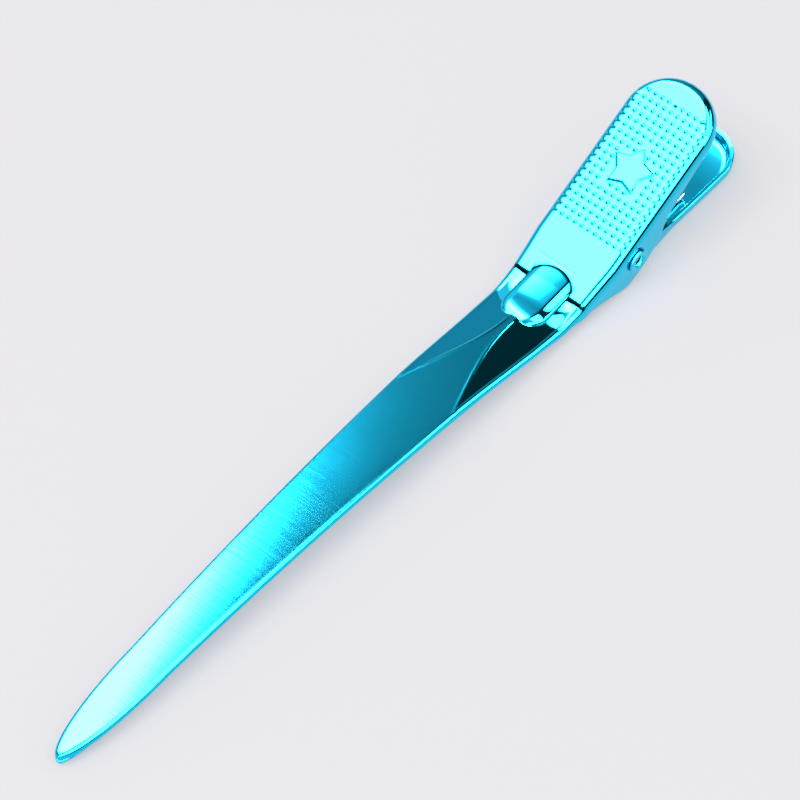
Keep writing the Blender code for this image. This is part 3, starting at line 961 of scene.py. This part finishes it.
def build_floor():
    """A plain pale floor under the clip."""
    half = FLOOR_HALF
    corners = [(-half, -half, 0), (half, -half, 0), (half, half, 0), (-half, half, 0)]
    mesh = bpy.data.meshes.new("floor")
    mesh.from_pydata(corners, [], [(0, 1, 2, 3)])
    floor = bpy.data.objects.new("floor", mesh)
    bpy.context.scene.collection.objects.link(floor)
    material, _, _, shader = new_material("pale_floor")
    shader.inputs["Roughness"].default_value = 0.9
    shader.inputs["Specular IOR Level"].default_value = 0.0
    shader.inputs["Base Color"].default_value = FLOOR_COLOUR
    shader.inputs["Emission Color"].default_value = FLOOR_GLOW
    shader.inputs["Emission Strength"].default_value = FLOOR_GLOW_STRENGTH
    mesh.materials.append(material)


def panel(name, centre, size, radiance, aim, lights_floor=False):
    """A softbox that faces its aim, or down if that is None, and either lights the floor or is mirrored."""
    lamp = bpy.data.lights.new(name, "AREA")
    lamp.shape = "RECTANGLE"
    lamp.size, lamp.size_y = size
    lamp.energy = radiance * math.pi * size[0] * size[1]
    box = bpy.data.objects.new(name, lamp)
    box.location = centre
    if aim is not None:
        box.rotation_euler = (Vector(aim) - Vector(centre)).to_track_quat("-Z", "Y").to_euler()
    box.visible_camera = False
    box.visible_diffuse = lights_floor
    box.visible_glossy = not lights_floor
    bpy.context.scene.collection.objects.link(box)


def graded(nodes, links, value, stations):
    """A colour ramp through (place, radiance) stations, a little bluer where it is dim."""
    first, last = stations[0][0], stations[-1][0]
    ramp = nodes.new("ShaderNodeValToRGB")
    elements = ramp.color_ramp.elements
    while len(elements) < len(stations):
        elements.new(0.5)
    for element, (place, radiance) in zip(elements, stations):
        element.position = (place - first) / (last - first)
        tinted = radiance * (1.0 if radiance > SKY_BRIGHT else SKY_DIM_TINT)
        element.color = (tinted, tinted, radiance, 1)
    links.new(mapped(nodes, links, value, (first, last)), ramp.inputs["Fac"])
    return ramp.outputs["Color"]


def glow(nodes, links, colour, strength):
    """Light of a colour and strength, each given as a value or a socket."""
    light = nodes.new("ShaderNodeBackground")
    feed(links, colour, light.inputs["Color"])
    feed(links, strength, light.inputs["Strength"])
    return light.outputs["Background"]


def right_light(nodes, links, across, back):
    """Strength of the bright light on the right, and of the darkness that is left round it."""
    gap_end = step(nodes, links, back, GAP_NARROWS, GAP_WIDTHS)
    past_gap = step(nodes, links, maths(nodes, links, "SUBTRACT", across, gap_end), GAP_BLEND)
    in_front = step(nodes, links, back, RIGHT_BACK_END, (1.0, 0.0))
    above_horizon = step(nodes, links, across, RIGHT_HORIZON, (1.0, 0.0))
    lit = times(nodes, links, times(nodes, links, past_gap, in_front), above_horizon)
    return maths(nodes, links, "ADD", times(nodes, links, lit, RIGHT_RADIANCE), DARKEST_RADIANCE)


def reflected_sky(nodes, links):
    """Graded light for the plating to mirror, by how far across and back it is per unit of height."""
    place = nodes.new("ShaderNodeTexCoord")
    split = nodes.new("ShaderNodeSeparateXYZ")
    links.new(place.outputs["Generated"], split.inputs["Vector"])
    up = maths(nodes, links, "MAXIMUM", split.outputs["Z"], LEAST_HEIGHT)
    across = maths(nodes, links, "DIVIDE", split.outputs["X"], up)
    back = maths(nodes, links, "DIVIDE", split.outputs["Y"], up)
    slanted = maths(nodes, links, "ADD", back, times(nodes, links, across, SKY_SLANT))
    past_far_left = step(nodes, links, across, FAR_LEFT_END)
    colour = mixed(nodes, links, past_far_left, FAR_LEFT_COLOUR, graded(nodes, links, slanted, SKY))
    before_right_end = step(nodes, links, across, SKY_RIGHT_END, (1.0, SKY_PAST_RIGHT_END))
    both = nodes.new("ShaderNodeAddShader")
    links.new(glow(nodes, links, colour, before_right_end), both.inputs[0])
    links.new(glow(nodes, links, RIGHT_COLOUR, right_light(nodes, links, across, back)), both.inputs[1])
    return both.outputs["Shader"]


def light_studio():
    """A graded sky with dark gaps for the plating to mirror, in a pale tent that lights the floor."""
    panel(*FLOOR_SOFTBOX, lights_floor=True)
    for softbox in MIRRORED_SOFTBOXES:
        panel(*softbox)
    world = bpy.data.worlds.new("studio")
    bpy.context.scene.world = world
    world.use_nodes = True
    nodes, links = world.node_tree.nodes, world.node_tree.links
    tent = nodes["Background"]
    tent.inputs["Color"].default_value = TENT_COLOUR
    tent.inputs["Strength"].default_value = TENT_STRENGTH
    which = nodes.new("ShaderNodeLightPath")
    mix = nodes.new("ShaderNodeMixShader")
    from_floor = maths(nodes, links, "MINIMUM", which.outputs["Diffuse Depth"], 1.0)
    seen = maths(nodes, links, "SUBTRACT", which.outputs["Is Glossy Ray"], from_floor)
    links.new(maths(nodes, links, "MAXIMUM", seen, 0.0), mix.inputs["Fac"])
    links.new(tent.outputs["Background"], mix.inputs[1])
    links.new(reflected_sky(nodes, links), mix.inputs[2])
    links.new(mix.outputs["Shader"], nodes["World Output"].inputs["Surface"])
    bpy.context.scene.view_settings.view_transform = "Standard"
    bpy.context.scene.view_settings.look = "None"


def place_camera(lowest, highest):
    """Aim a long lens at the middle of the clip as the camera sees it."""
    azimuth, elevation = CAMERA_AZIMUTH, CAMERA_ELEVATION
    back = Vector((math.sin(azimuth) * math.cos(elevation), -math.cos(azimuth) * math.cos(elevation),
                   math.sin(elevation)))
    middle = (Vector(lowest) + Vector(highest)) / 2
    camera = bpy.data.objects.new("camera", bpy.data.cameras.new("camera"))
    camera.data.lens = CAMERA_LENS
    camera.data.sensor_width = 36
    camera.data.clip_start = 0.01
    camera.location = middle + back * CAMERA_DISTANCE
    camera.rotation_euler = (-back).to_track_quat("-Z", "Y").to_euler()
    bpy.context.scene.collection.objects.link(camera)
    bpy.context.scene.camera = camera


def main():
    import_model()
    cad_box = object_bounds()
    plating = plating_material()
    upper = build_jaw("upper_plated_jaw", UpperJaw(), plating)
    lower = build_jaw("lower_plated_jaw", LowerJaw(), plating)
    for jaw_object in (upper, lower):
        drill_ears(jaw_object)
    rivet = build_pin(rivet_material())
    spring = build_spring(spring_material())
    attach(upper, "upper")
    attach(lower, "lower")
    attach(rivet, "lower")
    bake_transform(spring)
    for piece, node, finish_and_painted_shade in ((upper, "upper_jaw", "jaw_plating"),
                                (lower, "lower_jaw", "jaw_plating"),
                                (rivet, "pivot_pin", "rivet_plating"),
                                (spring, "leaf_spring", "spring_steel")):
        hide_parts(node)
    build_floor()
    light_studio()
    place_camera(*cad_box)


main()
